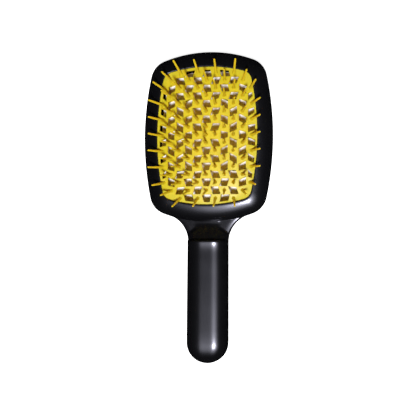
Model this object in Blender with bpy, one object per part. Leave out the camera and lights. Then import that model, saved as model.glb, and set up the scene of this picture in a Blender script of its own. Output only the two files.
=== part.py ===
"""A vented hair brush with a wide open head.

The rear shell is one moulding: the back half of the head, the neck and the
trough of the handle. The front ring closes the head and clamps the rim of
the pin net, a domed lattice with tapered pins. The handle cover closes the
trough.

Metres, +Z up. The brush lies on its back with the pins up, its head towards
+Y, and the origin under the middle of its length.
"""

import math

import bmesh
import bpy
from mathutils import Matrix, Vector

# The whole brush
BRUSH_LENGTH = 0.2072
HEAD_WIDTH = 0.0866
HEAD_LENGTH = 0.1140
HANDLE_HEIGHT = 0.0180
HANDLE_NECK_WIDTH = 0.0270
HANDLE_END_WIDTH = 0.0274

# Mouldings: wall, clearance between pieces, and the overrun of every cut
WALL = 0.0018
FIT = 0.0003
OVERRUN = 0.0060
FACING = 0.0005  # taken off the back to leave its flat lands
SHARP_ANGLE = math.radians(32.0)

# Head outline, made of side, corner and end arcs
HEAD_SIDE_RADIUS = 0.200
HEAD_END_RADIUS = 0.084
HEAD_CORNER_RADIUS = 0.0145
SIDE_STEPS = 5
CORNER_STEPS = 5
END_STEPS = 5

# The opening in the front ring, where the net shows
RING_BAND = 0.0098  # from the head's side to the opening
RING_END_BAND = 0.0110
OPENING_SIDE_RADIUS = 0.178
OPENING_END_RADIUS = 0.090
OPENING_CORNER_RADIUS = 0.007

# Heights in the head, from the table
HEAD_PARTING = 0.0090
RING_CREST = 0.0162
NET_RIM_TOP = 0.0144
NET_THICKNESS = 0.0018
NET_CROWN = 0.0180

# Front ring section: its skin falls outward from a crest that lies just
# inside the opening's edge
CREST_INSET = 0.0110
FALL_POWER = 1.7
TONGUE_INSET = 0.0058
TONGUE_DEPTH = 0.0050
LAP_DEPTH = 0.0018
LAP_THICKNESS = 0.0012
ROUND_STEPS = 6
FALL_STEPS = 8

# Rear ring section
BACK_ROUND = 0.0038
LEDGE_WIDTH = 0.0022
LEDGE_THICKNESS = 0.0016
SLOPE_STEPS = 4

# Net lattice: holes and pins alternate on a grid of columns and rows
LAST_HOLE_ROW = (8, 7, 8, 7, 6, 5)  # by column, counted from the middle
LAST_PIN_ROW = (7, 8, 7, 8, 7, 6)
SIDE_MARGIN = 0.00375  # from the last column to the ring's lip
END_MARGIN = 0.00424  # from the last row to the ring's lip
WHOLE_MARGIN = 0.0013  # net left whole and flat inside the ring's lip
DOME_POWER = 3

# Holes, as shares of the lattice's pitch: level ones near the middle line
# and at the ends, upright ones at the sides
LEVEL_WIDTH_SHARE = 0.87
LEVEL_HEIGHT_SHARE = 0.97
LEVEL_SLANT_SHARE = 0.28
UPRIGHT_WIDTH_SHARE = 0.79
UPRIGHT_HEIGHT_SHARE = 1.00
UPRIGHT_SLANT_SHARE = 0.50
TAPER_SHARE = 0.24  # of the holes on the middle lines
LEVEL_COLUMN = 1  # last column whose holes are all level
END_LEVEL_COLUMN = 3  # last column whose holes are level at the head's ends
END_LEVEL_ROW = 5  # first row of those ends

# Pins
PIN_LENGTH = 0.0157
PIN_ROOT_RADIUS = 0.0012
PIN_RADIUS = 0.00075
PIN_TIP_RADIUS = 0.00055
PIN_ROOT_HEIGHT = 0.0022
PIN_TIP_HEIGHT = 0.0006
PIN_SUNK = 0.0009
PIN_SIDES = 4
SIDE_LEAN = math.radians(27.0)
END_LEAN = math.radians(24.0)
SIDE_LEAN_EVEN_SHARE = 0.56  # of the lean, spread evenly over the columns
END_LEAN_EVEN_SHARE = 0.36
CORNER_LEAN_SHARE = 0.70
CORNER_DRAWN_IN = 0.00085  # clears the front ring's lip

# Neck
NECK_LENGTH = 0.0117
NECK_FLARE_RADIUS = 0.0190
NECK_FLARE_SHARE = 0.94  # of the flare's radius, up to the neck's root in the head
NECK_STEP = 0.0003  # down from the head's parting to the neck's root
NECK_RISE = 0.0050  # of the ramp in the neck's middle, up to the handle's cover
NECK_LANDING = 0.0013  # level stretch between the ring's foot and the ramp
RAMP_WIDTH = 0.0160
RAMP_FULL = 0.0040  # stretch next to the cover where the ramp is as wide as the handle
RAMP_NARROWING = 0.0040  # from there to the ramp's own width
NECK_STEPS = 12

# Handle section and ends
WIDEST_HEIGHT = 0.0070
FACET_CUT = 0.0001
UPPER_POWER = 3.0
LOWER_POWER = 3.0
WING_POWER = 5.0  # of the neck's level wings beside the ramp
RIDGE_LENGTH = 0.0016  # rounding of the cover's end above the neck
RIDGE_BUMP = 0.0007  # of the cover's end over the handle's flat
RIDGE_FADE = 0.0110  # from the bump down to the flat
FADE_POWER = 4
CROWN_ROUND = 0.0200  # where the handle's top rounds over to its tip
RIDGE_STEPS = 4
FADE_STEPS = 4
TIP_STEPS = 7
HANDLE_STEPS = 3
SECTION_QUARTER_STEPS = 7
HANDLE_LAP = 0.0020
HANDLE_LIP = 0.0012

# Places that follow from the sizes above
HEAD_Y = (BRUSH_LENGTH - HEAD_LENGTH) / 2
HANDLE_END_Y = -BRUSH_LENGTH / 2
RING_FOOT_Y = HEAD_Y - HEAD_LENGTH / 2
COVER_Y = RING_FOOT_Y - NECK_LENGTH
OPENING_WIDTH = HEAD_WIDTH - 2 * RING_BAND
OPENING_LENGTH = HEAD_LENGTH - 2 * RING_END_BAND
TONGUE_EDGE = TONGUE_INSET + WALL
NET_EDGE = TONGUE_EDGE + FIT
WINDOW_INSET = NET_EDGE + LEDGE_WIDTH
NET_RIM_BOTTOM = NET_RIM_TOP - NET_THICKNESS
LEDGE_TOP = NET_RIM_BOTTOM - FIT
LIP_BOTTOM = NET_RIM_TOP + FIT
FRONT_BASE = HEAD_PARTING + FIT
DOME_SAG = NET_CROWN - NET_RIM_TOP
NECK_ROOT_TOP = HEAD_PARTING - NECK_STEP
NECK_END_TOP = NECK_ROOT_TOP + NECK_RISE
LAST_COLUMN = len(LAST_PIN_ROW) - 1
LAST_ROW = max(LAST_PIN_ROW)
COLUMN_PITCH = (OPENING_WIDTH / 2 - SIDE_MARGIN) / LAST_COLUMN
ROW_PITCH = (OPENING_LENGTH / 2 - END_MARGIN) / LAST_ROW
DOME_WIDTH = OPENING_WIDTH - 2 * WHOLE_MARGIN
DOME_LENGTH = OPENING_LENGTH - 2 * WHOLE_MARGIN


def clear_scene():
    for obj in list(bpy.data.objects):
        bpy.data.objects.remove(obj)


def make_collection(name):
    collection = bpy.data.collections.new(name)
    bpy.context.scene.collection.children.link(collection)
    return collection


def mix(first, last, share):
    return first + (last - first) * share


def quarter_arc(centre, reach, rise, steps, backwards=False):
    """Points of a quarter ellipse, from beside its centre to above it."""
    points = []
    for step in range(steps + 1):
        angle = math.pi / 2 * step / steps
        points.append((centre[0] + reach * math.cos(angle), centre[1] + rise * math.sin(angle)))
    return points[::-1] if backwards else points


def outline_arcs(inset):
    """Half width, half length and radii of the head's outline, drawn in by an inset."""
    share = inset / RING_BAND
    half_width = mix(HEAD_WIDTH, OPENING_WIDTH, share) / 2
    half_length = mix(HEAD_LENGTH, OPENING_LENGTH, share) / 2
    side = mix(HEAD_SIDE_RADIUS, OPENING_SIDE_RADIUS, share)
    end = mix(HEAD_END_RADIUS, OPENING_END_RADIUS, share)
    corner = mix(HEAD_CORNER_RADIUS, OPENING_CORNER_RADIUS, share)
    return half_width, half_length, side, end, corner


def corner_centre(side_x, end_y, side_reach, end_reach):
    """Where the corner arc's centre lies, at one reach from each of the other two."""
    apart = math.hypot(side_x, end_y)
    along = (side_reach**2 - end_reach**2 + apart**2) / (2 * apart)
    across = math.sqrt(side_reach**2 - along**2)
    unit_x, unit_y = -side_x / apart, end_y / apart
    return side_x + along * unit_x - across * unit_y, along * unit_y + across * unit_x


def arc_points(centre_x, centre_y, radius, start, stop, steps):
    points = []
    for step in range(steps):
        angle = mix(start, stop, step / steps)
        points.append((centre_x + radius * math.cos(angle), centre_y + radius * math.sin(angle)))
    return points


def head_outline(inset):
    """Points round the head, counter-clockwise from its right side."""
    half_width, half_length, side, end, corner = outline_arcs(inset)
    side_x = half_width - side
    end_y = half_length - end
    corner_x, corner_y = corner_centre(side_x, end_y, side - corner, end - corner)
    side_angle = math.atan2(corner_y, corner_x - side_x)
    end_angle = math.atan2(corner_y - end_y, corner_x)
    quarter = arc_points(side_x, 0, side, 0, side_angle, SIDE_STEPS)
    quarter += arc_points(corner_x, corner_y, corner, side_angle, end_angle, CORNER_STEPS)
    quarter += arc_points(0, end_y, end, end_angle, math.pi / 2, END_STEPS)
    quarter.append((0, half_length))
    right_top = quarter[:-1]
    left_top = [(-x, y) for x, y in quarter[:0:-1]]
    left_bottom = [(-x, -y) for x, y in right_top]
    right_bottom = [(-x, -y) for x, y in left_top]
    return right_top + left_top + left_bottom + right_bottom


def head_ring(inset, height):
    return [(x, HEAD_Y + y, height) for x, y in head_outline(inset)]


def loft(name, rings, collection, closed=False, pole=None):
    """One solid through rings of like points, closed on itself or capped at its ends."""
    mesh = bmesh.new()
    loops = [[mesh.verts.new(point) for point in ring] for ring in rings]
    following = loops[1:] + (loops[:1] if closed else [])
    count = len(rings[0])
    for first, second in zip(loops, following):
        for index in range(count):
            after = (index + 1) % count
            mesh.faces.new((first[index], first[after], second[after], second[index]))
    if not closed:
        mesh.faces.new(loops[0][::-1])
        if pole is None:
            mesh.faces.new(loops[-1])
        else:
            top = mesh.verts.new(pole)
            for index in range(count):
                mesh.faces.new((loops[-1][index], loops[-1][(index + 1) % count], top))
    bmesh.ops.recalc_face_normals(mesh, faces=mesh.faces)
    return mesh_object(name, mesh, collection)


def mesh_object(name, mesh, collection):
    data = bpy.data.meshes.new(name)
    mesh.to_mesh(data)
    mesh.free()
    obj = bpy.data.objects.new(name, data)
    collection.objects.link(obj)
    return obj


def block(name, low, high, collection):
    """A plain box between two corners."""
    mesh = bmesh.new()
    bmesh.ops.create_cube(mesh, size=1)
    for vert in mesh.verts:
        vert.co = [mix(low[axis], high[axis], vert.co[axis] + 1 / 2) for axis in range(3)]
    return mesh_object(name, mesh, collection)


def boolean(obj, operation, other):
    modifier = obj.modifiers.new(other.name, "BOOLEAN")
    modifier.operation = operation
    modifier.object = other
    other.hide_render = True
    other.display_type = "WIRE"


def baked_mesh(obj):
    """The object's mesh with its modifiers applied."""
    bpy.context.view_layer.update()
    graph = bpy.context.evaluated_depsgraph_get()
    return bpy.data.meshes.new_from_object(obj.evaluated_get(graph))


def finish(obj, material):
    obj.data.shade_smooth()
    obj.data.set_sharp_from_angle(angle=SHARP_ANGLE)
    obj.data.materials.append(material)


def black_plastic():
    material = bpy.data.materials.new("black_satin_plastic")
    material.use_nodes = True
    surface = material.node_tree.nodes["Principled BSDF"]
    surface.inputs["Base Color"].default_value = (0.008, 0.008, 0.009, 1)
    surface.inputs["Roughness"].default_value = 0.30
    surface.inputs["Metallic"].default_value = 0
    return material


def yellow_nylon():
    material = bpy.data.materials.new("yellow_nylon")
    material.use_nodes = True
    surface = material.node_tree.nodes["Principled BSDF"]
    surface.inputs["Base Color"].default_value = (0.87, 0.66, 0.03, 1)
    surface.inputs["Roughness"].default_value = 0.42
    surface.inputs["Metallic"].default_value = 0
    return material


def handle_section(y, half_width, top, bottom, upper_power=UPPER_POWER):
    """Points round the handle: a rounded back, sloping flanks and a flat on top."""
    points = []
    for step in range(4 * SECTION_QUARTER_STEPS):
        angle = math.pi / 2 * step / SECTION_QUARTER_STEPS
        across, up = math.cos(angle), math.sin(angle)
        power = upper_power if up >= 0 else LOWER_POWER
        x = math.copysign(half_width * abs(across) ** (2 / power), across)
        peak = top + FACET_CUT if up >= 0 else bottom
        z = WIDEST_HEIGHT + (peak - WIDEST_HEIGHT) * abs(up) ** (2 / power)
        points.append((x, y, min(z, top)))
    return points


def handle_half_width(y):
    tip_radius = HANDLE_END_WIDTH / 2
    share = (COVER_Y - y) / (COVER_Y - HANDLE_END_Y - tip_radius)
    return mix(HANDLE_NECK_WIDTH, HANDLE_END_WIDTH, min(1, max(0, share))) / 2


def ridge_sections(start_y):
    """Sections of the cover's end: up from the neck in a quarter ellipse, then down to the flat."""
    stations = []
    for step in range(RIDGE_STEPS):
        angle = math.pi / 2 * step / RIDGE_STEPS
        top = mix(NECK_END_TOP, HANDLE_HEIGHT + RIDGE_BUMP, math.sin(angle))
        stations.append((start_y - RIDGE_LENGTH * (1 - math.cos(angle)), top))
    for step in range(FADE_STEPS):
        share = step / FADE_STEPS
        top = HANDLE_HEIGHT + RIDGE_BUMP * (1 - share) ** FADE_POWER
        stations.append((start_y - RIDGE_LENGTH - RIDGE_FADE * share, top))
    return [handle_section(y, handle_half_width(y), top, -FACING) for y, top in stations]


def crown_share(y, inset):
    """Share of the handle's upper height left at y, where its top rounds over to the tip."""
    past = (HANDLE_END_Y + CROWN_ROUND - y) / (CROWN_ROUND - inset)
    return (1 - min(1, max(0, past)) ** UPPER_POWER) ** (1 / UPPER_POWER)


def handle_sections(start_y, inset=0, height=HANDLE_HEIGHT):
    """Sections of the handle from start_y to its rounded tip, drawn in by an inset."""
    tip_radius = HANDLE_END_WIDTH / 2
    tip_y = HANDLE_END_Y + tip_radius
    sections = []
    for step in range(HANDLE_STEPS):
        y = mix(start_y, tip_y, step / HANDLE_STEPS)
        half_width = handle_half_width(y) - inset
        top = mix(WIDEST_HEIGHT, height - inset, crown_share(y, inset))
        sections.append(handle_section(y, half_width, top, inset - FACING))
    for step in range(TIP_STEPS):
        angle = math.pi / 2 * step / TIP_STEPS
        y = tip_y - (tip_radius - inset) * math.sin(angle)
        half_width = (tip_radius - inset) * math.cos(angle)
        top = mix(WIDEST_HEIGHT, height - inset, crown_share(y, inset))
        bottom = mix(WIDEST_HEIGHT, inset - FACING, math.cos(angle))
        sections.append(handle_section(y, half_width, top, bottom))
    pole = (0, HANDLE_END_Y + inset, WIDEST_HEIGHT)
    return sections, pole


def ramp_height(x, up):
    """Height of the ramp in the neck's middle, at a distance up from the cover's end."""
    narrowed = min(1, max(0, up - RAMP_FULL) / RAMP_NARROWING)
    half_width = mix(HANDLE_NECK_WIDTH, RAMP_WIDTH, narrowed) / 2
    across = min(1, abs(x) / half_width)
    top = mix(NECK_END_TOP, NECK_ROOT_TOP, min(1, up / (NECK_LENGTH - NECK_LANDING)))
    return mix(WIDEST_HEIGHT, top, (1 - across**UPPER_POWER) ** (1 / UPPER_POWER))


def flare_centre():
    """Middle of the arc that leads from the handle's right side into the head's outline."""
    centre_x = HANDLE_NECK_WIDTH / 2 + NECK_FLARE_RADIUS
    heights = []
    for x, y in head_outline(FIT):
        if y < 0 and abs(x - centre_x) < NECK_FLARE_RADIUS:
            heights.append(HEAD_Y + y - math.sqrt(NECK_FLARE_RADIUS**2 - (x - centre_x) ** 2))
    return centre_x, min(heights)


def neck_sections():
    """Sections from deep in the head's wall down the flared neck: level wings and a ramp."""
    centre_x, centre_y = flare_centre()
    root_y = centre_y + NECK_FLARE_RADIUS * NECK_FLARE_SHARE
    places = [root_y + BACK_ROUND + WALL]
    places += [mix(root_y, COVER_Y, step / NECK_STEPS) for step in range(NECK_STEPS)]
    sections = []
    for place in places:
        away = min(place, root_y) - centre_y
        half_width = centre_x - math.sqrt(NECK_FLARE_RADIUS**2 - away**2)
        section = handle_section(place, half_width, NECK_ROOT_TOP, -FACING, WING_POWER)
        raised = [
            (x, y, max(z, ramp_height(x, y - COVER_Y)) if z > WIDEST_HEIGHT else z) for x, y, z in section
        ]
        sections.append(raised)
    return sections


def make_rear_ring(collection):
    """The head's back half: outer wall, flat back, window wall and the net's ledge."""
    outer = quarter_arc(
        (BACK_ROUND, HEAD_PARTING), -BACK_ROUND, -HEAD_PARTING - FACING, ROUND_STEPS
    )
    window = [
        (WINDOW_INSET, -FACING),
        (WINDOW_INSET, LEDGE_TOP),
        (NET_EDGE, LEDGE_TOP),
        (NET_EDGE, LEDGE_TOP - LEDGE_THICKNESS),
        (WINDOW_INSET - WALL, LEDGE_TOP - LEDGE_THICKNESS),
        (WINDOW_INSET - WALL, WALL),
    ]
    inner = quarter_arc(
        (BACK_ROUND, HEAD_PARTING), WALL - BACK_ROUND, WALL - HEAD_PARTING, SLOPE_STEPS, backwards=True
    )
    profile = outer + window + inner
    rings = [head_ring(inset, height) for inset, height in profile]
    return loft("rear_ring", rings, collection, closed=True)


def make_ring_core(collection):
    """The head's inside, just within its wall, which keeps the neck out of the ring."""
    depth = WALL / 2
    side = quarter_arc(
        (BACK_ROUND, HEAD_PARTING), depth - BACK_ROUND, depth - HEAD_PARTING, ROUND_STEPS, backwards=True
    )
    profile = side + [(depth, HANDLE_HEIGHT + OVERRUN)]
    rings = [head_ring(inset, height) for inset, height in profile]
    return loft("ring_core", rings, collection)


def make_rear_shell(parts, cutters, material):
    """Rear half of the head, neck and handle trough, moulded in one."""
    sections, pole = handle_sections(COVER_Y, height=NECK_END_TOP)
    shell = loft("rear_shell", neck_sections() + sections, parts, pole=pole)
    boolean(shell, "DIFFERENCE", make_ring_core(cutters))
    over = block(
        "trough_parting",
        (-HEAD_WIDTH, HANDLE_END_Y - OVERRUN, WIDEST_HEIGHT),
        (HEAD_WIDTH, COVER_Y, HANDLE_HEIGHT + OVERRUN),
        cutters,
    )
    boolean(shell, "DIFFERENCE", over)
    sections, pole = handle_sections(COVER_Y - WALL, WALL)
    boolean(shell, "DIFFERENCE", loft("trough_hollow", sections, cutters, pole=pole))
    boolean(shell, "UNION", make_rear_ring(cutters))
    under = block(
        "back_facing",
        (-HEAD_WIDTH, -BRUSH_LENGTH, -OVERRUN),
        (HEAD_WIDTH, BRUSH_LENGTH, 0),
        cutters,
    )
    boolean(shell, "DIFFERENCE", under)
    finish(shell, material)


def ring_height(inset):
    """Height of the front ring's skin at an inset from the head's edge."""
    across = 1 - inset / CREST_INSET
    return FRONT_BASE + (RING_CREST - FRONT_BASE) * math.sqrt(1 - across**FALL_POWER)


def make_front_ring(parts, material):
    """The head's front half: a hollow frame that falls outward, with the lip that holds the net."""
    insets = [RING_BAND * (step / FALL_STEPS) ** 2 for step in range(FALL_STEPS + 1)]
    crown = [(inset, ring_height(inset)) for inset in insets]
    tongue = [
        (RING_BAND, LIP_BOTTOM),
        (TONGUE_EDGE, LIP_BOTTOM),
        (TONGUE_EDGE, LIP_BOTTOM - TONGUE_DEPTH),
        (TONGUE_INSET, LIP_BOTTOM - TONGUE_DEPTH),
        (TONGUE_INSET, ring_height(TONGUE_INSET) - WALL),
    ]
    lap_outer = WALL + FIT
    lap_inner = lap_outer + LAP_THICKNESS
    lap = [
        (lap_inner, ring_height(lap_inner) - WALL),
        (lap_inner, FRONT_BASE - LAP_DEPTH),
        (lap_outer, FRONT_BASE - LAP_DEPTH),
        (lap_outer, FRONT_BASE),
    ]
    profile = crown + tongue + lap
    rings = [head_ring(inset, height) for inset, height in profile]
    ring = loft("front_ring", rings, parts, closed=True)
    finish(ring, material)


def make_handle_cover(parts, cutters, material):
    """Front half of the handle, with a lip that drops inside the trough."""
    start_y = COVER_Y - FIT
    sections, pole = handle_sections(start_y - RIDGE_LENGTH - RIDGE_FADE)
    cover = loft("handle_cover", ridge_sections(start_y) + sections, parts, pole=pole)
    low_y = HANDLE_END_Y - OVERRUN
    high_y = COVER_Y + OVERRUN
    under = block(
        "cover_parting",
        (-HEAD_WIDTH, low_y, -OVERRUN),
        (HEAD_WIDTH, high_y, WIDEST_HEIGHT + FIT),
        cutters,
    )
    boolean(cover, "DIFFERENCE", under)
    lip_inset = WALL + FIT
    sections, pole = handle_sections(COVER_Y - lip_inset, lip_inset)
    lip = loft("cover_lip", sections, cutters, pole=pole)
    band = block(
        "lip_band",
        (-HEAD_WIDTH, low_y, WIDEST_HEIGHT - HANDLE_LAP),
        (HEAD_WIDTH, high_y, WIDEST_HEIGHT + HANDLE_LAP),
        cutters,
    )
    boolean(lip, "INTERSECT", band)
    boolean(cover, "UNION", lip)
    hollow_inset = lip_inset + HANDLE_LIP
    sections, pole = handle_sections(COVER_Y - hollow_inset, hollow_inset)
    boolean(cover, "DIFFERENCE", loft("cover_hollow", sections, cutters, pole=pole))
    finish(cover, material)


def sites(last_rows, parity):
    """Columns and rows of the lattice whose sum has the parity, out to each column's last row."""
    for column in range(-LAST_COLUMN, LAST_COLUMN + 1):
        last = last_rows[abs(column)]
        for row in range(-last, last + 1):
            if (column + row) % 2 == parity and (column, row) != (0, 0):
                yield column, row


def hole_corners(column, row):
    """Corners of one hole about its middle. Next to the middle columns and at
    the head's ends its top and bottom run level; elsewhere its sides are upright.
    """
    side, end = math.copysign(1, column), math.copysign(1, row)
    lean = side * end * (1 if column % 2 else -1)
    at_end = abs(column) <= END_LEVEL_COLUMN and abs(row) >= END_LEVEL_ROW
    level = abs(column) <= LEVEL_COLUMN or at_end
    corners = []
    for across, up in ((1, 1), (-1, 1), (-1, -1), (1, -1)):
        if level:
            slant = up * lean * LEVEL_SLANT_SHARE if column else -across * up * end * TAPER_SHARE
            x = across * LEVEL_WIDTH_SHARE + slant
            y = up * LEVEL_HEIGHT_SHARE
        else:
            slant = across * lean * UPRIGHT_SLANT_SHARE if row else -up * across * side * TAPER_SHARE
            x = across * UPRIGHT_WIDTH_SHARE
            y = up * UPRIGHT_HEIGHT_SHARE + slant
        corners.append((x * COLUMN_PITCH / 2, y * ROW_PITCH / 2))
    return corners


def make_holes(cutters):
    """All the net's holes as prisms, kept within the margin inside the ring's lip."""
    mesh = bmesh.new()
    for column, row in sites(LAST_HOLE_ROW, 0):
        corners = bmesh.ops.create_circle(mesh, cap_ends=True, segments=4, radius=COLUMN_PITCH)["verts"]
        for vert, (x, y) in zip(corners, hole_corners(column, row)):
            vert.co = (column * COLUMN_PITCH + x, HEAD_Y + row * ROW_PITCH + y, -NET_THICKNESS - OVERRUN)
    raised = bmesh.ops.extrude_face_region(mesh, geom=list(mesh.faces), use_keep_orig=True)["geom"]
    tops = [item for item in raised if isinstance(item, bmesh.types.BMVert)]
    bmesh.ops.translate(mesh, verts=tops, vec=(0, 0, NET_THICKNESS + 2 * OVERRUN))
    bmesh.ops.recalc_face_normals(mesh, faces=mesh.faces)
    holes = mesh_object("net_holes", mesh, cutters)
    reach = NET_THICKNESS + 2 * OVERRUN
    limit = [head_ring(RING_BAND + WHOLE_MARGIN, -reach), head_ring(RING_BAND + WHOLE_MARGIN, reach)]
    boolean(holes, "INTERSECT", loft("hole_limit", limit, cutters))
    return holes


def make_pins(cutters):
    """All the pins, standing straight up from a flat net."""
    rings = (
        (PIN_ROOT_HEIGHT, PIN_RADIUS),
        (PIN_LENGTH - PIN_TIP_HEIGHT, PIN_TIP_RADIUS),
        (PIN_LENGTH, PIN_TIP_RADIUS / 2),
    )
    mesh = bmesh.new()
    for column, row in [*sites(LAST_PIN_ROW, 1), (0, 0)]:
        centre = Vector((column * COLUMN_PITCH, HEAD_Y + row * ROW_PITCH, 0))
        if is_corner(column, row):
            centre.x -= math.copysign(CORNER_DRAWN_IN, column)
        root = bmesh.ops.create_cone(
            mesh,
            cap_ends=True,
            segments=PIN_SIDES,
            radius1=PIN_ROOT_RADIUS,
            radius2=PIN_ROOT_RADIUS,
            depth=PIN_SUNK,
            matrix=Matrix.Translation(centre - Vector((0, 0, PIN_SUNK / 2))),
        )["verts"]
        faces = {face for vert in root for face in vert.link_faces}
        top = max(faces, key=lambda face: face.calc_center_median().z)
        for height, radius in rings:
            top = bmesh.ops.extrude_discrete_faces(mesh, faces=[top])["faces"][0]
            for vert in top.verts:
                away = (vert.co - centre) * Vector((1, 1, 0))
                vert.co = centre + away.normalized() * radius + Vector((0, 0, height))
    return mesh_object("net_pins", mesh, cutters)


def make_flat_plate(cutters):
    """A flat plate divided along the lattice's lines, wider than the net."""
    columns, rows = LAST_COLUMN + 2, LAST_ROW + 2
    mesh = bmesh.new()
    bmesh.ops.create_grid(mesh, x_segments=2 * columns, y_segments=2 * rows, size=1)
    for vert in mesh.verts:
        vert.co.x *= columns * COLUMN_PITCH
        vert.co.y = HEAD_Y + vert.co.y * rows * ROW_PITCH
    for side in (-1, 1):
        edges = (
            ((side * DOME_WIDTH / 2, HEAD_Y, 0), (1, 0, 0)),
            ((0, HEAD_Y + side * DOME_LENGTH / 2, 0), (0, 1, 0)),
        )
        for place, normal in edges:
            everything = [*mesh.verts, *mesh.edges, *mesh.faces]
            bmesh.ops.bisect_plane(mesh, geom=everything, plane_co=place, plane_no=normal)
    raised = bmesh.ops.extrude_face_region(mesh, geom=list(mesh.faces))["geom"]
    lower = [item for item in raised if isinstance(item, bmesh.types.BMVert)]
    bmesh.ops.translate(mesh, verts=lower, vec=(0, 0, -NET_THICKNESS))
    bmesh.ops.recalc_face_normals(mesh, faces=mesh.faces)
    return mesh_object("flat_net", mesh, cutters)


def dome_height(x, y):
    """Height of the net's top face, flat beyond the dome's edge."""
    across = abs(x) / (DOME_WIDTH / 2)
    along = abs(y - HEAD_Y) / (DOME_LENGTH / 2)
    share = min(1, (across**DOME_POWER + along**DOME_POWER) ** (1 / DOME_POWER))
    return NET_CROWN - DOME_SAG * (share**2 + share**4) / 2


def is_corner(column, row):
    return abs(column) == LAST_COLUMN and abs(row) == LAST_PIN_ROW[LAST_COLUMN]


def lean_angle(share, most, even_share):
    """Lean of a pin at a share of the way to the edge: even at first, then fanning out."""
    return most * (even_share * share + (1 - even_share) * share**5)


def pin_direction(column, row):
    side_angle = lean_angle(column / LAST_COLUMN, SIDE_LEAN, SIDE_LEAN_EVEN_SHARE)
    end_angle = lean_angle(row / LAST_ROW, END_LEAN, END_LEAN_EVEN_SHARE)
    if is_corner(column, row):
        side_angle *= CORNER_LEAN_SHARE
    x, y = math.sin(side_angle), math.sin(end_angle)
    return x, y, math.sqrt(1 - x * x - y * y)


def bend(point):
    """Place of a point of the flat net on the dome, a pin's points along its lean."""
    x, y, height = point
    if height <= FIT:
        return x, y, dome_height(x, y) + height
    column = round(x / COLUMN_PITCH)
    row = round((y - HEAD_Y) / ROW_PITCH)
    lean_x, lean_y, lean_z = pin_direction(column, row)
    return x + height * lean_x, y + height * lean_y, dome_height(x, y) + height * lean_z


def make_pin_net(parts, cutters, material):
    """The domed net with its holes and pins, moulded in one."""
    flat = make_flat_plate(cutters)
    reach = NET_THICKNESS + OVERRUN
    outline = [head_ring(NET_EDGE, -reach), head_ring(NET_EDGE, reach)]
    boolean(flat, "INTERSECT", loft("net_outline", outline, cutters))
    boolean(flat, "DIFFERENCE", make_holes(cutters))
    boolean(flat, "UNION", make_pins(cutters))
    mesh = baked_mesh(flat)
    for vert in mesh.vertices:
        vert.co = bend(vert.co)
    mesh.name = "pin_net"
    net = bpy.data.objects.new("pin_net", mesh)
    parts.objects.link(net)
    finish(net, material)
    flat.hide_render = True
    flat.display_type = "WIRE"


def main():
    clear_scene()
    parts = make_collection("vented_hair_brush")
    cutters = make_collection("cutters")
    black = black_plastic()
    make_rear_shell(parts, cutters, black)
    make_front_ring(parts, black)
    make_handle_cover(parts, cutters, black)
    make_pin_net(parts, cutters, yellow_nylon())


main()
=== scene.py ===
"""A vented hair brush: a black plastic body and a yellow net with pins."""

import math

import bmesh
import bpy
from mathutils import Matrix, Vector


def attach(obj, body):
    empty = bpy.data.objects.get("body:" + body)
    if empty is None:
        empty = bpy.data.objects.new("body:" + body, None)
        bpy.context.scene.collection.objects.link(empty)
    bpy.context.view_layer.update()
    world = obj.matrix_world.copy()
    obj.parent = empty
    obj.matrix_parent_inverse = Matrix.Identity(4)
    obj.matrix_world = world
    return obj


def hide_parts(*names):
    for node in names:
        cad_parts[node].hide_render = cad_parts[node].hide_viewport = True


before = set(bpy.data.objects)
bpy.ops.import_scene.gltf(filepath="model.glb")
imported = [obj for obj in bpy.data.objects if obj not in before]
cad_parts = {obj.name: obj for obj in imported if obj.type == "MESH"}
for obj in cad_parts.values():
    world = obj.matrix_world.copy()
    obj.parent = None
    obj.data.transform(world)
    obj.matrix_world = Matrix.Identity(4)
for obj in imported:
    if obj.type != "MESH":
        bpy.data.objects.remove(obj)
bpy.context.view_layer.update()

# The camera stands almost straight above the brush, a little to its right and
# towards its handle, about 0.7 m away, with the head's end at the top.
HEAD_Y = 0.0466
NET_CROWN = 0.0180
CAMERA_LENS = 91.85
CAMERA_PITCH = math.radians(4.0)
CAMERA_YAW = math.radians(9.0)
CAMERA_ROLL = math.radians(-0.33)
CAMERA_OFFSET = (0.00118, -0.04828, 0.700)
camera_data = bpy.data.cameras.new("camera")
camera_data.lens = CAMERA_LENS
camera = bpy.data.objects.new("camera", camera_data)
bpy.context.scene.collection.objects.link(camera)
camera_turn = (
    Matrix.Rotation(CAMERA_PITCH, 4, "X")
    @ Matrix.Rotation(CAMERA_YAW, 4, "Y")
    @ Matrix.Rotation(CAMERA_ROLL, 4, "Z")
)
camera_place = Vector((0, HEAD_Y, NET_CROWN)) + camera_turn @ Vector(CAMERA_OFFSET)
camera.matrix_world = Matrix.Translation(camera_place) @ camera_turn
bpy.context.scene.camera = camera


# The front ring is one moulding in black ABS, highest at its opening, with a
# soft fall outward. Its lip and tongue hold the rim of the net, and its lap
# enters the rear shell behind a groove as wide as a hair.
class Socket:
    """A shader value that adds Math nodes as it is reckoned with."""

    def __init__(self, tree, socket):
        self.tree = tree
        self.socket = socket

    def node(self, kind, settings, inputs, output=0):
        """Adds a node with its settings, then its sockets' values or links."""
        made = self.tree.nodes.new(kind)
        for name, value in settings.items():
            setattr(made, name, value)
        for name, value in inputs.items():
            if isinstance(value, Socket):
                self.tree.links.new(value.socket, made.inputs[name])
            else:
                made.inputs[name].default_value = value
        return Socket(self.tree, made.outputs[output])

    def math(self, operation, other, swapped=False):
        pair = (other, self) if swapped else (self, other)
        return self.node("ShaderNodeMath", {"operation": operation}, dict(enumerate(pair)))

    def __add__(self, other):
        return self.math("ADD", other)

    def __radd__(self, other):
        return self.math("ADD", other, swapped=True)

    def __mul__(self, other):
        return self.math("MULTIPLY", other)

    def __rmul__(self, other):
        return self.math("MULTIPLY", other, swapped=True)


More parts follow.
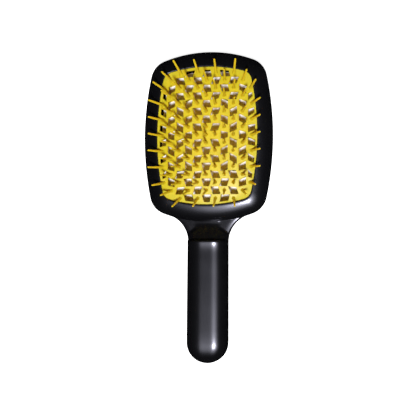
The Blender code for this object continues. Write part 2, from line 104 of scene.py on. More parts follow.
def new_material(name):
    """A material, its shader and the object coordinates that its patterns read."""
    material = bpy.data.materials.new(name)
    material.use_nodes = True
    tree = material.node_tree
    shader = tree.nodes["Principled BSDF"]
    coordinates = tree.nodes.new("ShaderNodeTexCoord").outputs["Object"]
    return material, shader, Socket(tree, coordinates)


def feed(shader, name, value):
    value.tree.links.new(value.socket, shader.inputs[name])


def noise(coordinates, scale, detail):
    inputs = {"Vector": coordinates, "Scale": scale, "Detail": detail}
    return coordinates.node("ShaderNodeTexNoise", {}, inputs)


def blend(factor, first, second):
    """A colour from the first at a factor of 0 to the second at 1."""
    inputs = {"Factor": factor, "A": first, "B": second}
    return factor.node("ShaderNodeMix", {"data_type": "RGBA"}, inputs, output="Result")


def relief(height, strength, distance):
    inputs = {"Height": height, "Strength": strength, "Distance": distance}
    return height.node("ShaderNodeBump", {}, inputs)


# The black plastic has a fine satin grain from the mould, is worn a little
# smoother in broad patches, and shows a faint flow in its gloss.
BLACK = (0.0018, 0.0018, 0.0022, 1)
BLACK_WORN = (0.0032, 0.0032, 0.0038, 1)
BLACK_ROUGHNESS = 0.19
PATCH_ROUGHNESS = 0.05
GRAIN_ROUGHNESS = 0.04
GRAIN_HEIGHT_SHARE = 0.024
FLOW_HEIGHT = 0.0003
BLACK_SPECULAR = 0.45
BLACK_SPECULAR_TINT = (0.84, 0.84, 1.0, 1)
body_plastic, shader, coordinates = new_material("satin_black_plastic")
patches = noise(coordinates, scale=55.0, detail=3.0)
grain = noise(coordinates, scale=3500.0, detail=2.0)
feed(shader, "Base Color", blend(patches, BLACK, BLACK_WORN))
feed(shader, "Roughness", BLACK_ROUGHNESS + patches * PATCH_ROUGHNESS + grain * GRAIN_ROUGHNESS)
flow = noise(coordinates, scale=38.0, detail=0.0)
height = flow + grain * GRAIN_HEIGHT_SHARE
feed(shader, "Normal", relief(height, strength=1.0, distance=FLOW_HEIGHT))
shader.inputs["Specular IOR Level"].default_value = BLACK_SPECULAR
shader.inputs["Specular Tint"].default_value = BLACK_SPECULAR_TINT

# Each pair holds a value at the head's edge and one at the ring's opening,
# which lies a band inward.
RING_BAND = 0.0098
HALF_WIDTHS = (0.0433, 0.0335)
HALF_LENGTHS = (0.0570, 0.0460)
SIDE_RADII = (0.200, 0.178)
END_RADII = (0.084, 0.090)
CORNER_RADII = (0.0145, 0.007)
SIDE_STEPS = 10
CORNER_STEPS = 12
END_STEPS = 10
SWEEP_MERGE = 0.000001
SHARP_ANGLE = math.radians(40)


def mix(first, last, share):
    return first + (last - first) * share


def head_outline(inset):
    """Points round the head at an inset from its edge, from the middle of its right side."""
    share = inset / RING_BAND
    half_width = mix(*HALF_WIDTHS, share)
    half_length = mix(*HALF_LENGTHS, share)
    side, end, corner = mix(*SIDE_RADII, share), mix(*END_RADII, share), mix(*CORNER_RADII, share)
    side_x, end_y = half_width - side, half_length - end
    apart = math.hypot(side_x, end_y)
    along = ((side - corner) ** 2 - (end - corner) ** 2 + apart**2) / (2 * apart)
    across = math.sqrt((side - corner) ** 2 - along**2)
    corner_x = side_x - (along * side_x + across * end_y) / apart
    corner_y = (along * end_y - across * side_x) / apart
    side_angle = math.atan2(corner_y, corner_x - side_x)
    end_angle = math.atan2(corner_y - end_y, corner_x)
    arcs = (
        (side_x, 0, side, 0, side_angle, SIDE_STEPS),
        (corner_x, corner_y, corner, side_angle, end_angle, CORNER_STEPS),
        (0, end_y, end, end_angle, math.pi / 2, END_STEPS),
    )
    quarter = []
    for centre_x, centre_y, radius, start, stop, steps in arcs:
        for step in range(steps):
            angle = mix(start, stop, step / steps)
            quarter.append((centre_x + radius * math.cos(angle), centre_y + radius * math.sin(angle)))
    mirrored = [(-x, y) for x, y in [*quarter[1:], (0, half_length)][::-1]]
    half = quarter + mirrored
    return half + [(-x, -y) for x, y in half]


def head_loop(inset, height):
    return [(x, HEAD_Y + y, height) for x, y in head_outline(inset)]


def swept(name, sections, closed=False):
    """A skin over sections of like points: one loop of edges, extruded from section to section."""
    shape = bmesh.new()
    loop = bmesh.ops.create_circle(shape, segments=len(sections[0]), radius=1)["verts"]
    edges = list(shape.edges)
    for vert, point in zip(loop, sections[0]):
        vert.co = point
    for section in [*sections[1:], *sections[: int(closed)]]:
        grown = bmesh.ops.extrude_edge_only(shape, edges=edges)["geom"]
        fresh = {item for item in grown if isinstance(item, bmesh.types.BMVert)}
        after = {edge.other_vert(vert): vert for vert in fresh for edge in vert.link_edges}
        loop = [after[vert] for vert in loop]
        edges = [item for item in grown if isinstance(item, bmesh.types.BMEdge)]
        edges = [edge for edge in edges if fresh.issuperset(edge.verts)]
        for vert, point in zip(loop, section):
            vert.co = point
    bmesh.ops.remove_doubles(shape, verts=shape.verts, dist=SWEEP_MERGE)
    ends = bmesh.ops.holes_fill(shape, edges=shape.edges)["faces"]
    bmesh.ops.triangulate(shape, faces=ends)
    bmesh.ops.recalc_face_normals(shape, faces=shape.faces)
    return new_piece(name, shape)


def shade(mesh):
    """Shades a mesh smooth, apart from its sharp edges."""
    mesh.shade_smooth()
    mesh.set_sharp_from_angle(angle=SHARP_ANGLE)


def new_piece(name, shape):
    mesh = bpy.data.meshes.new(name)
    shape.to_mesh(mesh)
    shape.free()
    piece = bpy.data.objects.new(name, mesh)
    bpy.context.scene.collection.objects.link(piece)
    shade(mesh)
    return piece


def quarter_arc(centre, reach, rise, steps, backwards=False):
    """Points of a quarter ellipse in a section, from beside its centre to above it."""
    turns = [math.pi / 2 * step / steps for step in range(steps + 1)]
    points = [(centre[0] + reach * math.cos(turn), centre[1] + rise * math.sin(turn)) for turn in turns]
    return points[::-1] if backwards else points


def dress(piece, material, slot, *nodes):
    """Gives a piece its material and the body it rides on, and hides the CAD nodes it stands for."""
    piece.data.materials.append(material)
    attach(piece, "root")
    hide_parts(*nodes)


HEAD_PARTING = 0.0090
GROOVE = 0.0003
EDGE_ROUND = 0.0003
WALL = 0.0018
CREST_INSET = 0.0110
RING_CREST = 0.0162
FALL_POWER = 1.7
FALL_STEPS = 18
LIP_ROUND = 0.0005
LIP_STEPS = 4
LIP_BOTTOM = 0.0147
TONGUE_INSETS = (0.0058, 0.0076)
TONGUE_BOTTOM = 0.0097
LAP_INSETS = (0.0021, 0.0033)
LAP_BOTTOM = 0.0075
RING_BASE = HEAD_PARTING + GROOVE


def ring_height(inset):
    """Height of the ring's skin at an inset from the head's edge."""
    across = 1 - inset / CREST_INSET
    return RING_BASE + (RING_CREST - RING_BASE) * math.sqrt(1 - across**FALL_POWER)


lip_edge = RING_BAND - LIP_ROUND
lip_centre = (lip_edge, ring_height(lip_edge) - LIP_ROUND)
insets = [lip_edge * (step / FALL_STEPS) ** 2 for step in range(1, FALL_STEPS)]
ring_section = [(EDGE_ROUND, RING_BASE), (EDGE_ROUND / 3, RING_BASE + EDGE_ROUND / 3)]
ring_section += [(inset, ring_height(inset)) for inset in insets]
ring_section += quarter_arc(lip_centre, LIP_ROUND, LIP_ROUND, LIP_STEPS, backwards=True)
ring_section += [
    (RING_BAND, LIP_BOTTOM + EDGE_ROUND / 3),
    (RING_BAND - EDGE_ROUND / 3, LIP_BOTTOM),
    (TONGUE_INSETS[1], LIP_BOTTOM),
    (TONGUE_INSETS[1], TONGUE_BOTTOM),
    (TONGUE_INSETS[0], TONGUE_BOTTOM),
    (TONGUE_INSETS[0], ring_height(TONGUE_INSETS[0]) - WALL),
    (LAP_INSETS[1], ring_height(LAP_INSETS[1]) - WALL),
    (LAP_INSETS[1], LAP_BOTTOM),
    (LAP_INSETS[0], LAP_BOTTOM),
    (LAP_INSETS[0], RING_BASE),
]
front_ring = swept("ring_front", [head_loop(*point) for point in ring_section], closed=True)
dress(front_ring, body_plastic, "black_shell", "front_ring")


# The rear shell is one black moulding: the back half of the head with its
# wide window, the neck, which flares into it, and the trough of the handle.
# It lies on a flat back, and a ledge round its window carries the net's rim.
BACK_ROUND = 0.0038
BACK_STEPS = 14
INSIDE_STEPS = 8
WINDOW_INSET = 0.0101
WINDOW_ROUND = 0.0008
WINDOW_ROUND_MIDDLE = 0.0002
LEDGE_INSET = 0.0079
LEDGE_TOP = 0.0123
LEDGE_BOTTOM = 0.0107
side = quarter_arc(
    (BACK_ROUND, HEAD_PARTING - EDGE_ROUND), -BACK_ROUND, EDGE_ROUND - HEAD_PARTING, BACK_STEPS
)
window = [
    (WINDOW_INSET - WINDOW_ROUND, 0),
    (WINDOW_INSET - WINDOW_ROUND_MIDDLE, WINDOW_ROUND_MIDDLE),
    (WINDOW_INSET, WINDOW_ROUND),
    (WINDOW_INSET, LEDGE_TOP - EDGE_ROUND),
    (WINDOW_INSET - EDGE_ROUND, LEDGE_TOP),
    (LEDGE_INSET, LEDGE_TOP),
    (LEDGE_INSET, LEDGE_BOTTOM),
    (WINDOW_INSET - WALL, LEDGE_BOTTOM),
    (WINDOW_INSET - WALL, WALL),
]
inside = quarter_arc(
    (BACK_ROUND, HEAD_PARTING), WALL - BACK_ROUND, WALL - HEAD_PARTING, INSIDE_STEPS, backwards=True
)
rear_section = side + window + inside + [(EDGE_ROUND, HEAD_PARTING)]
rear_shell = swept("shell_rear", [head_loop(*point) for point in rear_section], closed=True)

# The neck and the handle's trough are one sweep of sections with as many
# points each, so the inside of the trough has two steps fewer.
COVER_Y = -0.0221
HANDLE_END_Y = -0.1036
WIDEST_HEIGHT = 0.0070
HANDLE_WIDTHS = (0.0270, 0.0274)
UPPER_POWER = 3.0
LOWER_POWER = 3.0
HALF_STEPS = 48
INNER_STEPS = HALF_STEPS - 2
NECK_LENGTH = 0.0117
NECK_TOPS = (0.0137, 0.0087)
NECK_LANDING = 0.0013
NECK_FLARE_RADIUS = 0.0190
NECK_FLARE_SHARE = 0.94
NECK_STEPS = 32
RAMP_WIDTH = 0.0160
RAMP_FULL = 0.0040
RAMP_NARROWING = 0.0040
WING_POWER = 5.0
WING_SOFTNESS = 0.0012
ROOT_RISE = 0.0002
TIP_RADIUS = 0.0137
TIP_Y = HANDLE_END_Y + TIP_RADIUS
TIP_STEPS = 16
SHAFT_STEPS = 14
BACK_FACING = 0.0005
FACET_CUT = 0.0001
FACET_SOFTNESS = 0.00005
UNION_MERGE = 0.00001


def handle_half_width(y):
    share = (COVER_Y - y) / (COVER_Y - TIP_Y)
    return mix(*HANDLE_WIDTHS, min(1, max(0, share))) / 2


def soft_lesser(first, second, softness=FACET_SOFTNESS):
    """The lesser of two heights, with a soft turn where they meet."""
    share = min(1, max(0, (1 + (second - first) / softness) / 2))
    return mix(second, first, share) - softness * share * (1 - share)


def half_section(y, half_width, base, peak, limit, steps=HALF_STEPS, upper_power=UPPER_POWER):
    """Half a section of the handle, from its right side over or under a flat to its left side."""
    power = upper_power if peak > base else LOWER_POWER
    points = []
    for step in range(steps + 1):
        angle = math.pi * step / steps
        reach, rise = math.cos(angle), abs(math.sin(angle))
        height = base + (peak - base) * rise ** (2 / power)
        height = soft_lesser(height, limit) if peak > base else max(height, limit)
        points.append((math.copysign(half_width * abs(reach) ** (2 / power), reach), y, height))
    return points


def ramp_height(x, up):
    """Height of the ramp in the neck's middle, at a distance up from the cover's end."""
    narrowed = min(1, max(0, up - RAMP_FULL) / RAMP_NARROWING)
    half_width = mix(HANDLE_WIDTHS[0], RAMP_WIDTH, narrowed) / 2
    across = min(1, abs(x) / half_width)
    top = mix(*NECK_TOPS, min(1, up / (NECK_LENGTH - NECK_LANDING)))
    return mix(WIDEST_HEIGHT, top, (1 - across**UPPER_POWER) ** (1 / UPPER_POWER))


def wall_middle(x, height):
    """Y of the middle of the head's wall, above the neck, at a height."""
    rise = (HEAD_PARTING - max(0, height)) / HEAD_PARTING
    inset = BACK_ROUND * (1 - math.sqrt(1 - rise**2)) + WALL / 2
    radius = mix(*END_RADII, inset / RING_BAND)
    return HEAD_Y + radius - mix(*HALF_LENGTHS, inset / RING_BAND) - math.sqrt(radius**2 - x**2)


# The neck's sides are arcs that touch the handle's side and the head's outline.
flare_x = HANDLE_WIDTHS[0] / 2 + NECK_FLARE_RADIUS
near_head = [
    (x, HEAD_Y + y)
    for x, y in head_outline(GROOVE)
    if y < 0 and abs(x - flare_x) < NECK_FLARE_RADIUS
]
flare_y = min(y - math.sqrt(NECK_FLARE_RADIUS**2 - (x - flare_x) ** 2) for x, y in near_head)
root_y = flare_y + NECK_FLARE_RADIUS * NECK_FLARE_SHARE


def neck_section(y, lowest):
    """A section of the neck: its level wings with the ramp between them, over its flat back."""
    away = min(y, root_y) - flare_y if y > COVER_Y else 0
    half_width = flare_x - math.sqrt(NECK_FLARE_RADIUS**2 - away**2)
    peak, limit = NECK_TOPS[1] + FACET_CUT, NECK_TOPS[1]
    upper = half_section(y, half_width, WIDEST_HEIGHT, peak, limit, upper_power=WING_POWER)
    for index, (x, _, z) in enumerate(upper[1:-1], start=1):
        upper[index] = (x, y, -soft_lesser(-z, -ramp_height(x, y - COVER_Y), WING_SOFTNESS))
    lower = half_section(y, half_width, WIDEST_HEIGHT, -BACK_FACING, 0)[::-1]
    return [(x, min(y, wall_middle(x, z)), max(z, lowest)) for x, y, z in upper[:-1] + lower[:-1]]


def trough_section(lower, inner):
    """A section of the trough, from its outside to its inside and back round."""
    return [lower[-1], *inner, *lower[:-1]]


shell_sections = [neck_section(root_y + BACK_ROUND + WALL, ROOT_RISE)]
for step in range(NECK_STEPS + 1):
    shell_sections.append(neck_section(mix(root_y, COVER_Y, step / NECK_STEPS), 0))
stations = [(y, handle_half_width(COVER_Y), False) for y in (COVER_Y, COVER_Y - WALL)]
for step in range(SHAFT_STEPS):
    y = mix(COVER_Y - WALL, TIP_Y, step / SHAFT_STEPS)
    stations.append((y, handle_half_width(y), True))
for y, half_width, hollow in stations:
    lower = half_section(y, half_width, WIDEST_HEIGHT, -BACK_FACING, 0)[::-1]
    inner = half_section(
        y, half_width - WALL, WIDEST_HEIGHT, WALL - BACK_FACING, WALL, steps=INNER_STEPS
    )
    if not hollow:
        inner = [(x, y, WIDEST_HEIGHT) for x, y, z in inner]
    shell_sections.append(trough_section(lower, inner))
inner_radius = TIP_RADIUS - WALL
for step in range(TIP_STEPS + 1):
    angle = math.pi / 2 * step / TIP_STEPS
    share = math.cos(angle)
    y = TIP_Y - TIP_RADIUS * math.sin(angle)
    inner_y = TIP_Y - inner_radius * math.sin(angle)
    bottom = mix(WIDEST_HEIGHT, -BACK_FACING, share)
    lower = half_section(y, TIP_RADIUS * share, WIDEST_HEIGHT, bottom, max(0, bottom))[::-1]
    bottom = mix(WIDEST_HEIGHT, WALL - BACK_FACING, share)
    inner = half_section(
        inner_y, inner_radius * share, WIDEST_HEIGHT, bottom, max(WALL, bottom), steps=INNER_STEPS
    )
    shell_sections.append(trough_section(lower, inner))
handle_body = swept("handle_body", shell_sections)
join = rear_shell.modifiers.new("join", "BOOLEAN")
join.operation = "UNION"
join.object = handle_body
graph = bpy.context.evaluated_depsgraph_get()
rear_shell.data = bpy.data.meshes.new_from_object(rear_shell.evaluated_get(graph))
rear_shell.modifiers.clear()
bpy.data.objects.remove(handle_body)

# The union leaves needles along its seam, which are merged and taken out.
joined = bmesh.new()
joined.from_mesh(rear_shell.data)
bmesh.ops.remove_doubles(joined, verts=joined.verts, dist=UNION_MERGE)
bmesh.ops.dissolve_degenerate(joined, edges=joined.edges, dist=UNION_MERGE)
bmesh.ops.triangulate(joined, faces=[face for face in joined.faces if len(face.verts) > 4])
bmesh.ops.dissolve_degenerate(joined, edges=joined.edges, dist=UNION_MERGE)
joined.to_mesh(rear_shell.data)
joined.free()
rear_shell.data.validate()
shade(rear_shell.data)
dress(rear_shell, body_plastic, "black_shell", "rear_shell")


# The handle cover is the front half of the handle, a black moulding with a
# flat top and soft flanks. Its end above the neck swells into a low ridge.
HANDLE_HEIGHT = 0.0180
COVER_BASE = WIDEST_HEIGHT + GROOVE
COVER_START = COVER_Y - GROOVE
RIDGE_LENGTH = 0.0016
RIDGE_BUMP = 0.0007
RIDGE_FADE = 0.0110
FADE_POWER = 4
RIDGE_STEPS = 12
FADE_STEPS = 12
SOLID_FADE_STEPS = 4
FLAT_START = COVER_START - RIDGE_LENGTH - RIDGE_FADE
CROWN_ROUND = 0.0200
COVER_WALL = 0.0033


def crown_share(y):
    """How much of the cover's height is left at y, where its top rounds over to the tip."""
    past = max(0, HANDLE_END_Y + CROWN_ROUND - y) / CROWN_ROUND
    return (1 - min(1, past) ** UPPER_POWER) ** (1 / UPPER_POWER)


stations = []
for step in range(RIDGE_STEPS):
    angle = math.pi / 2 * step / RIDGE_STEPS
    y = COVER_START - RIDGE_LENGTH * (1 - math.cos(angle))
    stations.append((y, mix(NECK_TOPS[0], HANDLE_HEIGHT + RIDGE_BUMP, math.sin(angle)), False))
for step in range(FADE_STEPS):
    share = step / FADE_STEPS
    y = COVER_START - RIDGE_LENGTH - RIDGE_FADE * share
    top = HANDLE_HEIGHT + RIDGE_BUMP * (1 - share) ** FADE_POWER
    stations.append((y, top, step >= SOLID_FADE_STEPS))
for step in range(SHAFT_STEPS):
    y = mix(FLAT_START, TIP_Y, step / SHAFT_STEPS)
    stations.append((y, mix(COVER_BASE, HANDLE_HEIGHT, crown_share(y)), True))
cover_sections = []
ceiling = HANDLE_HEIGHT - COVER_WALL
for y, top, hollow in stations:
    half_width = handle_half_width(y)
    upper = half_section(y, half_width, COVER_BASE, top + FACET_CUT, top)
    inner = half_section(
        y, half_width - COVER_WALL, COVER_BASE, ceiling + FACET_CUT, ceiling, steps=INNER_STEPS
    )
    if not hollow:
        inner = [(x, y, COVER_BASE) for x, y, z in inner]
    cover_sections.append(upper + inner[::-1])
inner_radius = TIP_RADIUS - COVER_WALL
for step in range(TIP_STEPS + 1):
    angle = math.pi / 2 * step / TIP_STEPS
    share = math.cos(angle)
    cut = FACET_CUT * share
    y = TIP_Y - TIP_RADIUS * math.sin(angle)
    inner_y = TIP_Y - inner_radius * math.sin(angle)
    top = mix(COVER_BASE, HANDLE_HEIGHT, crown_share(y))
    upper = half_section(y, TIP_RADIUS * share, COVER_BASE, top + cut, top)
    ceiling = mix(COVER_BASE, HANDLE_HEIGHT - COVER_WALL, share)
    inner = half_section(
        inner_y, inner_radius * share, COVER_BASE, ceiling + cut, ceiling, steps=INNER_STEPS
    )
    cover_sections.append(upper + inner[::-1])
handle_cover = swept("cover_handle", cover_sections)
dress(handle_cover, body_plastic, "black_shell", "handle_cover")


# The net is a flexible nylon moulding in bright yellow. Slanted four-sided
# holes leave a lattice of narrow bars, and a tapered pin stands where the
# bars meet. The pins fan out towards the edge of the head.
YELLOW = (0.80, 0.74, 0.025, 1)
YELLOW_DEEP = (0.72, 0.64, 0.015, 1)
YELLOW_THROUGH = (0.95, 0.55, 0.08, 1)
THROUGH_SHARE = 0.40
YELLOW_ROUGHNESS = 0.38
CLOUD_ROUGHNESS = 0.10
NYLON_GRAIN_STRENGTH = 0.10
NYLON_GRAIN_HEIGHT = 0.00005
net_nylon, shader, coordinates = new_material("yellow_nylon")
clouds = noise(coordinates, scale=120.0, detail=3.0)
grain = noise(coordinates, scale=2600.0, detail=2.0)
feed(shader, "Base Color", blend(clouds, YELLOW, YELLOW_DEEP))
feed(shader, "Roughness", YELLOW_ROUGHNESS + clouds * CLOUD_ROUGHNESS)
feed(shader, "Normal", relief(grain, NYLON_GRAIN_STRENGTH, NYLON_GRAIN_HEIGHT))
through = coordinates.node("ShaderNodeBsdfTranslucent", {}, {"Color": YELLOW_THROUGH})
surface = Socket(coordinates.tree, shader.outputs["BSDF"])
surface = coordinates.node("ShaderNodeMixShader", {}, {0: THROUGH_SHARE, 1: surface, 2: through})
feed(net_nylon.node_tree.nodes["Material Output"], "Surface", surface)

# Holes and pins stand on one grid about the head's middle. The rows are given
# by column, counted outward, and the shares are of the grid's pitch.
COLUMN_PITCH = 0.00595
ROW_PITCH = 0.00522
LAST_HOLE_ROW = (8, 7, 8, 7, 6, 5)
LAST_PIN_ROW = (7, 8, 7, 8, 7, 6)
LEVEL_SHARES = (0.87, 0.97, 0.28)
UPRIGHT_SHARES = (0.79, 1.00, 0.50)
TAPER_SHARE = 0.24
LEVEL_COLUMN = 1
END_LEVEL_COLUMN = 3
END_LEVEL_ROW = 5
NET_RIM_TOP = 0.0144
NET_THICKNESS = 0.0018
NET_EDGE = 0.0079
WHOLE_MARGIN = 0.0013
HOLE_LIMIT = RING_BAND + WHOLE_MARGIN
DOME_HALVES = (0.0322, 0.0447)
DOME_POWER = 3
DOME_SAG = NET_CROWN - NET_RIM_TOP
HOLE_ROUND = 0.0005
HOLE_CORNER_ANGLE = math.radians(30)
BAR_ROUND = 0.00025
GRID_SLACK = 0.001
NET_MERGE = 0.0001
HOLE_INSET = 0.0002
WALL_SLOPE = 0.5
LEVEL_SLOPE = 0.9
PIN_SITE_REACH = 0.0006


def hole_corner(column, row, across, up):
    """One corner of a hole, level or upright, with a slant that turns from column to column."""
    side, end = math.copysign(1, column), math.copysign(1, row)
    lean = side * end * (1 if column % 2 else -1)
    at_end = abs(column) <= END_LEVEL_COLUMN and abs(row) >= END_LEVEL_ROW
    if abs(column) <= LEVEL_COLUMN or at_end:
        width, height, slant = LEVEL_SHARES
        x = across * width + (up * lean * slant if column else -across * up * end * TAPER_SHARE)
        y = up * height
    else:
        width, height, slant = UPRIGHT_SHARES
        x = across * width
        y = up * height + (across * lean * slant if row else -up * across * side * TAPER_SHARE)
    return Vector(((column + x / 2) * COLUMN_PITCH, (row + y / 2) * ROW_PITCH, 0))


def is_hole(column, row):
    last = LAST_HOLE_ROW[abs(column)] if abs(column) < len(LAST_HOLE_ROW) else -1
    return (column + row) % 2 == 0 and abs(row) <= last and (column, row) != (0, 0)


def is_pin(column, row):
    last = LAST_PIN_ROW[abs(column)] if abs(column) < len(LAST_PIN_ROW) else -1
    return ((column + row) % 2 == 1 and abs(row) <= last) or (column, row) == (0, 0)


def site_of(face):
    middle = face.calc_center_bounds()
    return round(middle.x / COLUMN_PITCH), round(middle.y / ROW_PITCH)


def site_place(column, row):
    return Vector((column * COLUMN_PITCH, row * ROW_PITCH, 0))


OUTLINES = {
    inset: [Vector((x, y, 0)) for x, y in head_outline(inset)] for inset in (NET_EDGE, HOLE_LIMIT)
}


def drawn_inside(point, inset):
    """The nearest point of the head's outline at an inset if a point lies outside it, or else None."""
    nearest = min(OUTLINES[inset], key=lambda other: (other - point).length)
    return nearest if point.length > nearest.length else None


columns, rows = len(LAST_PIN_ROW), max(LAST_PIN_ROW) + 1
net = bmesh.new()
bmesh.ops.create_grid(net, x_segments=2 * columns + 1, y_segments=2 * rows + 1, size=0.5)
for vert in net.verts:
    column = math.floor(vert.co.x * (2 * columns + 1) + GRID_SLACK)
    row = math.floor(vert.co.y * (2 * rows + 1) + GRID_SLACK)
    if (column + row) % 2 == 0:
        first, second = hole_corner(column, row, 1, 1), hole_corner(column + 1, row + 1, -1, -1)
    else:
        first, second = hole_corner(column + 1, row, -1, 1), hole_corner(column, row + 1, 1, -1)
    vert.co = (first + second) / 2
outer_faces = [face for face in net.faces if all(drawn_inside(vert.co, NET_EDGE) for vert in face.verts)]
bmesh.ops.delete(net, geom=outer_faces, context="FACES")
for vert in net.verts:
    vert.co = drawn_inside(vert.co, NET_EDGE) or vert.co
bmesh.ops.remove_doubles(net, verts=net.verts, dist=NET_MERGE)

# Each hole is its site's face, inset and taken out, with rounded corners.
hole_faces = {face: site_of(face) for face in net.faces if is_hole(*site_of(face))}
bmesh.ops.inset_individual(net, faces=list(hole_faces), thickness=HOLE_INSET)
for face, (column, row) in hole_faces.items():
    for vert in face.verts:
        away = vert.co - site_place(column, row)
        corner = hole_corner(column, row, 1 if away.x > 0 else -1, 1 if away.y > 0 else -1)
        vert.co = drawn_inside(corner, HOLE_LIMIT) or corner
bmesh.ops.delete(net, geom=list(hole_faces), context="FACES_ONLY")
lower = bmesh.ops.extrude_face_region(net, geom=list(net.faces), use_keep_orig=True)["geom"]
lower_verts = [item for item in lower if isinstance(item, bmesh.types.BMVert)]
bmesh.ops.translate(net, verts=lower_verts, vec=(0, 0, -NET_THICKNESS))
bmesh.ops.recalc_face_normals(net, faces=net.faces)


def is_wall(face):
    return abs(face.normal.z) < WALL_SLOPE


upright = [
    edge for edge in net.edges if len(edge.link_faces) == 2 and all(map(is_wall, edge.link_faces))
]
upright = [edge for edge in upright if edge.calc_face_angle() > HOLE_CORNER_ANGLE]
bevel = {"affect": "EDGES", "profile": 0.5, "material": -1, "clamp_overlap": True}
bmesh.ops.bevel(net, geom=upright, offset=HOLE_ROUND, segments=3, **bevel)
rims = [edge for edge in net.edges if len({is_wall(face) for face in edge.link_faces}) == 2]
bmesh.ops.bevel(net, geom=rims, offset=BAR_ROUND, segments=2, **bevel)


def dome_height(x, y):
    """Height of the net's top over a place in the head."""
    across, along = abs(x) / DOME_HALVES[0], abs(y) / DOME_HALVES[1]
    share = min(1, (across**DOME_POWER + along**DOME_POWER) ** (1 / DOME_POWER))
    return NET_CROWN - DOME_SAG * (share**2 + share**4) / 2


pin_faces = {}
for face in net.faces:
    column, row = site_of(face)
    away = face.calc_center_bounds() - site_place(column, row)
    if is_pin(column, row) and away.length < PIN_SITE_REACH and face.normal.z > LEVEL_SLOPE:
        pin_faces[face] = (column, row)
for vert in net.verts:
    vert.co.z += dome_height(vert.co.x, vert.co.y)

# The pins rise from the same moulding: a small cone at the root, a long taper
# and a round tip. Each section is a height along the pin and a radius.
PIN_LENGTH = 0.0157
PIN_SECTIONS = (
    (0.0000, 0.00135),
    (0.0004, 0.00112),
    (0.0010, 0.00096),
    (0.0024, 0.00080),
    (0.0090, 0.00068),
    (0.0149, 0.00058),
    (0.0153, 0.00052),
    (0.0156, 0.00034),
)
PIN_INSET = 0.0012
SIDE_LEAN = (math.radians(27.0), 0.56)
END_LEAN = (math.radians(24.0), 0.36)
FAN_POWER = 5
CORNER_LEAN_SHARE = 0.70
CORNER_DRAWN_IN = 0.00085


def lean_angle(share, lean):
    """Lean of a pin at a share of the way to the edge: even at first, then fanning out."""
    most, even = lean
    return most * (even * share + (1 - even) * share**FAN_POWER)


for face, (column, row) in pin_faces.items():
    side_angle = lean_angle(column / (len(LAST_PIN_ROW) - 1), SIDE_LEAN)
    end_angle = lean_angle(row / max(LAST_PIN_ROW), END_LEAN)
    foot = site_place(column, row)
    if abs(column) == len(LAST_PIN_ROW) - 1 and abs(row) == LAST_PIN_ROW[-1]:
        side_angle *= CORNER_LEAN_SHARE
        foot.x -= math.copysign(CORNER_DRAWN_IN, column)
    foot.z = dome_height(foot.x, foot.y)
    lean_x, lean_y = math.sin(side_angle), math.sin(end_angle)
    lean = Vector((lean_x, lean_y, math.sqrt(1 - lean_x**2 - lean_y**2)))
    turn = Vector((0, 0, 1)).rotation_difference(lean)
    bmesh.ops.inset_individual(net, faces=[face], thickness=PIN_INSET)
    bmesh.ops.subdivide_edges(net, edges=face.edges, cuts=1)
    first = math.atan2(face.verts[0].co.y - foot.y, face.verts[0].co.x - foot.x)
    for step, (height, radius) in enumerate(PIN_SECTIONS):
        if step:
            face = bmesh.ops.extrude_discrete_faces(net, faces=[face])["faces"][0]
        for index, vert in enumerate(face.verts):
            angle = first + 2 * math.pi * index / len(face.verts)
            away = Vector((math.cos(angle), math.sin(angle), 0)) * radius
            if step:
                vert.co = foot + lean * height + turn @ away
            else:
                vert.co = foot + away
                vert.co.z = dome_height(vert.co.x, vert.co.y)
    tip = bmesh.ops.poke(net, faces=[face])["verts"][0]
    tip.co = foot + lean * PIN_LENGTH
bmesh.ops.translate(net, verts=net.verts, vec=(0, HEAD_Y, 0))
bmesh.ops.recalc_face_normals(net, faces=net.faces)
pin_net = new_piece("net_with_pins", net)
dress(pin_net, net_nylon, "yellow_net", "pin_net")


# The brush lies on a plain white floor that gives off light like a light
# table, except in a rounded patch under the head. The white surround is seen
# by the camera only and lights nothing.
FLOOR_SIZE = 40.0
FLOOR_DROP = 0.0002
FLOOR_WHITE = (0.88, 0.88, 0.88, 1)
FLOOR_ROUGHNESS = 0.9
GLOW_STRENGTH = 0.95
DARK, WHITE = (0, 0, 0, 1), (1, 1, 1, 1)
PATCH_HALVES = (0.0355, 0.0490, 1.0)
PATCH_POWER = 4.0
floor_shape = bmesh.new()
bmesh.ops.create_grid(floor_shape, x_segments=1, y_segments=1, size=FLOOR_SIZE)
bmesh.ops.translate(floor_shape, verts=floor_shape.verts, vec=(0, 0, -FLOOR_DROP))
floor = new_piece("floor", floor_shape)
floor_paint, shader, coordinates = new_material("floor_paint")


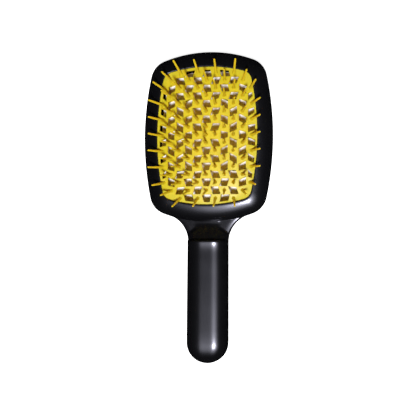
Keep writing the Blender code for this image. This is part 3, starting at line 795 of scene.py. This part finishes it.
def vector_math(operation, *values):
    settings = {"operation": operation}
    return coordinates.node("ShaderNodeVectorMath", settings, dict(enumerate(values)), output="Vector")


from_head = vector_math("SUBTRACT", coordinates, (0, HEAD_Y, 0))
shares = vector_math("ABSOLUTE", vector_math("DIVIDE", from_head, PATCH_HALVES))
across = shares.node("ShaderNodeSeparateXYZ", {}, {"Vector": shares}, output="X")
along = shares.node("ShaderNodeSeparateXYZ", {}, {"Vector": shares}, output="Y")
reach = across.math("POWER", PATCH_POWER) + along.math("POWER", PATCH_POWER)
lit = reach.math("GREATER_THAN", 1.0)
feed(shader, "Emission Color", blend(lit, DARK, WHITE))
shader.inputs["Emission Strength"].default_value = GLOW_STRENGTH
shader.inputs["Base Color"].default_value = FLOOR_WHITE
shader.inputs["Roughness"].default_value = FLOOR_ROUGHNESS
shader.inputs["Specular IOR Level"].default_value = 0.0
floor.data.materials.append(floor_paint)
floor.visible_glossy = False

world = bpy.data.worlds.new("studio")
bpy.context.scene.world = world
world.use_nodes = True
world.node_tree.nodes["Background"].inputs["Color"].default_value = WHITE
world.node_tree.nodes["Background"].inputs["Strength"].default_value = 1.0
world.cycles_visibility.diffuse = False
world.cycles_visibility.glossy = False
world.cycles_visibility.transmission = False
bpy.context.scene.view_settings.view_transform = "Standard"

# Two round lights hang overhead. The wide softbox lights the black pieces
# only, because on the net it would wash out the holes.
LIGHT_DISTANCE = 1.6


def soft_light(name, direction, width, power):
    """A round soft light that faces the brush from a direction."""
    data = bpy.data.lights.new(name, "AREA")
    data.shape = "DISK"
    data.size = width
    data.energy = power
    light = bpy.data.objects.new(name, data)
    toward = Vector(direction).normalized()
    light.location = toward * LIGHT_DISTANCE
    light.rotation_euler = toward.to_track_quat("Z", "Y").to_euler()
    bpy.context.scene.collection.objects.link(light)
    return light


soft_light("overhead_light", (0.12, -0.33, 1.00), width=0.18, power=36)
softbox = soft_light("overhead_softbox", (0.12, -0.36, 1.00), width=1.15, power=10)
body = bpy.data.collections.new("body")
for piece in (front_ring, rear_shell, handle_cover):
    body.objects.link(piece)
softbox.light_linking.receiver_collection = body
